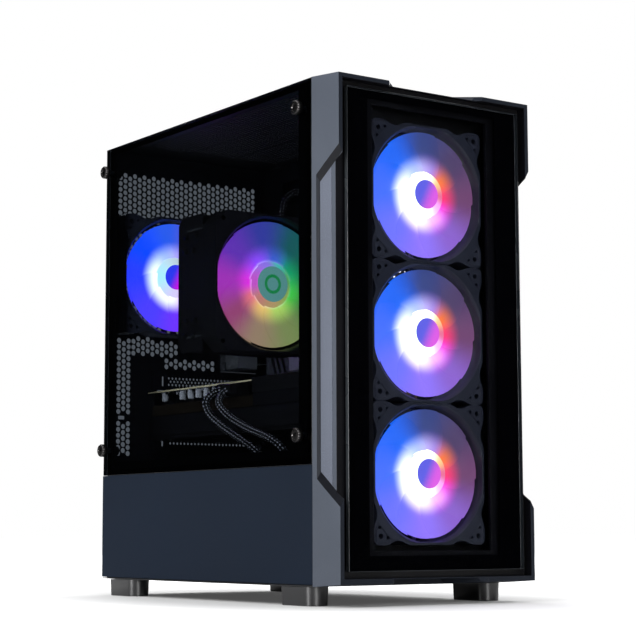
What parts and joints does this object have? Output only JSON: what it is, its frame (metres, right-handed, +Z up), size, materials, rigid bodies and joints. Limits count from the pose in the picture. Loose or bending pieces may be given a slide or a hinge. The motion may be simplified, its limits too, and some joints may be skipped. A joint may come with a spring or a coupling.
{
  "type": "desktop computer tower",
  "caption": "Compact desktop computer tower with a smoked glass side and glass front, lit fans, a tall air cooler, a graphics card and a shrouded power supply.",
  "frame": {"origin": "bottom centre of the bounding box, on the floor under the feet", "axes": "+Z up, front towards -Y, glass side towards -X, main board on the +X side"},
  "size_m": [0.2158, 0.4084, 0.4458],
  "materials": {
    "case_steel": "satin black powder coat",
    "front_plastic": "satin dark grey",
    "tinted_glass": "polished, lightly smoked",
    "foot_rubber": "satin",
    "screw_metal": "black nickel, knurled",
    "filter_mesh": "fine mesh",
    "black_plastic": "satin",
    "lit_blades": "frosted, lit from the hub",
    "heatsink_metal": "black anodised",
    "circuit_board": "black solder mask",
    "port_metal": "bright plated",
    "cable_sleeve": "braided"
  },
  "bodies": {
    "chassis": {"chassis_base": "case_steel", "chassis_rear": "case_steel", "chassis_front": "case_steel", "chassis_top": "case_steel", "motherboard_tray": "case_steel", "psu_shroud": "case_steel", "lower_side_panel": "case_steel", "foot_front_left": "foot_rubber", "foot_front_right": "foot_rubber", "foot_rear_left": "foot_rubber", "foot_rear_right": "foot_rubber", "io_module": "black_plastic", "front_fan_frame_1": "black_plastic", "front_fan_frame_2": "black_plastic", "front_fan_frame_3": "black_plastic", "rear_fan_frame": "black_plastic", "cooler_fan_frame": "black_plastic", "cooler_heatsink": "heatsink_metal", "motherboard": "circuit_board", "io_ports": "port_metal", "vrm_heatsink": "heatsink_metal", "storage_heatsink": "heatsink_metal", "memory_1": "circuit_board", "memory_2": "circuit_board", "gpu_board": "circuit_board", "gpu_shroud": "black_plastic", "gpu_bracket": "port_metal", "slot_cover_1": "case_steel", "slot_cover_2": "case_steel", "psu_case": "case_steel", "psu_inlet": "black_plastic", "drive_cage": "case_steel", "gpu_cable_1": "cable_sleeve", "gpu_cable_2": "cable_sleeve", "atx_cable": "cable_sleeve", "eps_cable": "cable_sleeve"},
    "front_panel": {"front_bezel": "front_plastic", "front_glass": "tinted_glass"},
    "side_panel": {"side_glass": "tinted_glass"},
    "right_panel": {"right_side_panel": "case_steel"},
    "top_filter": {"top_filter": "filter_mesh"},
    "psu_filter": {"psu_filter": "filter_mesh"},
    "power_button": {"power_button": "black_plastic"},
    "reset_button": {"reset_button": "black_plastic"},
    "glass_screw_1": {"glass_screw_1": "screw_metal"},
    "glass_screw_2": {"glass_screw_2": "screw_metal"},
    "glass_screw_3": {"glass_screw_3": "screw_metal"},
    "glass_screw_4": {"glass_screw_4": "screw_metal"},
    "rear_screw_1": {"rear_screw_1": "screw_metal"},
    "rear_screw_2": {"rear_screw_2": "screw_metal"},
    "front_fan_1": {"front_fan_rotor_1": "lit_blades"},
    "front_fan_2": {"front_fan_rotor_2": "lit_blades"},
    "front_fan_3": {"front_fan_rotor_3": "lit_blades"},
    "rear_fan": {"rear_fan_rotor": "lit_blades"},
    "cooler_fan": {"cooler_fan_rotor": "lit_blades"},
    "gpu_fan_1": {"gpu_fan_1": "black_plastic"},
    "gpu_fan_2": {"gpu_fan_2": "black_plastic"},
    "gpu_fan_3": {"gpu_fan_3": "black_plastic"},
    "psu_fan": {"psu_fan": "black_plastic"},
    "psu_switch": {"psu_switch": "black_plastic"}
  },
  "joints": [
    {"name": "front_panel_pull", "type": "slide", "parent": "chassis", "child": "front_panel", "axis": [0, -1, 0], "range_m": [0, 0.06]},
    {"name": "side_panel_lift_off", "type": "slide", "parent": "chassis", "child": "side_panel", "axis": [-1, 0, 0], "range_m": [0, 0.15]},
    {"name": "right_panel_slide", "type": "slide", "parent": "chassis", "child": "right_panel", "axis": [0, 1, 0], "range_m": [0, 0.02]},
    {"name": "top_filter_lift", "type": "slide", "parent": "chassis", "child": "top_filter", "axis": [0, 0, 1], "range_m": [0, 0.04]},
    {"name": "psu_filter_slide", "type": "slide", "parent": "chassis", "child": "psu_filter", "axis": [0, 1, 0], "range_m": [0, 0.16]},
    {"name": "power_button_press", "type": "slide", "parent": "chassis", "child": "power_button", "axis": [0, 0, -1], "range_m": [0, 0.0012], "stiffness_N_per_m": 600, "springref_m": -0.001},
    {"name": "reset_button_press", "type": "slide", "parent": "chassis", "child": "reset_button", "axis": [0, 0, -1], "range_m": [0, 0.0008], "stiffness_N_per_m": 600, "springref_m": -0.001},
    {"name": "glass_screw_1_turn", "type": "hinge", "parent": "side_panel", "child": "glass_screw_1", "pos_m": [-0.10075, -0.149, 0.141], "axis": [1, 0, 0], "continuous": true},
    {"name": "glass_screw_2_turn", "type": "hinge", "parent": "side_panel", "child": "glass_screw_2", "pos_m": [-0.10075, 0.19, 0.141], "axis": [1, 0, 0], "continuous": true},
    {"name": "glass_screw_3_turn", "type": "hinge", "parent": "side_panel", "child": "glass_screw_3", "pos_m": [-0.10075, -0.149, 0.4198], "axis": [1, 0, 0], "continuous": true},
    {"name": "glass_screw_4_turn", "type": "hinge", "parent": "side_panel", "child": "glass_screw_4", "pos_m": [-0.10075, 0.19, 0.4198], "axis": [1, 0, 0], "continuous": true},
    {"name": "rear_screw_1_turn", "type": "hinge", "parent": "right_panel", "child": "rear_screw_1", "pos_m": [0.09905, 0.1968, 0.096], "axis": [0, 1, 0], "continuous": true},
    {"name": "rear_screw_2_turn", "type": "hinge", "parent": "right_panel", "child": "rear_screw_2", "pos_m": [0.09905, 0.1968, 0.366], "axis": [0, 1, 0], "continuous": true},
    {"name": "front_fan_1_spin", "type": "hinge", "parent": "chassis", "child": "front_fan_1", "pos_m": [0.00355, -0.1772, 0.1097], "axis": [0, 1, 0], "continuous": true},
    {"name": "front_fan_2_spin", "type": "hinge", "parent": "chassis", "child": "front_fan_2", "pos_m": [0.00355, -0.1772, 0.23], "axis": [0, 1, 0], "continuous": true},
    {"name": "front_fan_3_spin", "type": "hinge", "parent": "chassis", "child": "front_fan_3", "pos_m": [0.00355, -0.1772, 0.3503], "axis": [0, 1, 0], "continuous": true},
    {"name": "rear_fan_spin", "type": "hinge", "parent": "chassis", "child": "rear_fan", "pos_m": [-0.03345, 0.1808, 0.317], "axis": [0, 1, 0], "continuous": true},
    {"name": "cooler_fan_spin", "type": "hinge", "parent": "chassis", "child": "cooler_fan", "pos_m": [-0.01545, 0.0298, 0.2945], "axis": [0, 1, 0], "continuous": true},
    {"name": "gpu_fan_1_spin", "type": "hinge", "parent": "chassis", "child": "gpu_fan_1", "pos_m": [0.00655, -0.0572, 0.158], "axis": [0, 0, 1], "continuous": true},
    {"name": "gpu_fan_2_spin", "type": "hinge", "parent": "chassis", "child": "gpu_fan_2", "pos_m": [0.00655, 0.0408, 0.158], "axis": [0, 0, 1], "continuous": true},
    {"name": "gpu_fan_3_spin", "type": "hinge", "parent": "chassis", "child": "gpu_fan_3", "pos_m": [0.00655, 0.1388, 0.158], "axis": [0, 0, 1], "continuous": true},
    {"name": "psu_fan_spin", "type": "hinge", "parent": "chassis", "child": "psu_fan", "pos_m": [0.00955, 0.1238, 0.03], "axis": [0, 0, 1], "continuous": true},
    {"name": "psu_switch_rock", "type": "hinge", "parent": "chassis", "child": "psu_switch", "pos_m": [-0.00845, 0.1926, 0.079], "axis": [1, 0, 0], "range_deg": [0, 17.6]}
  ]
}
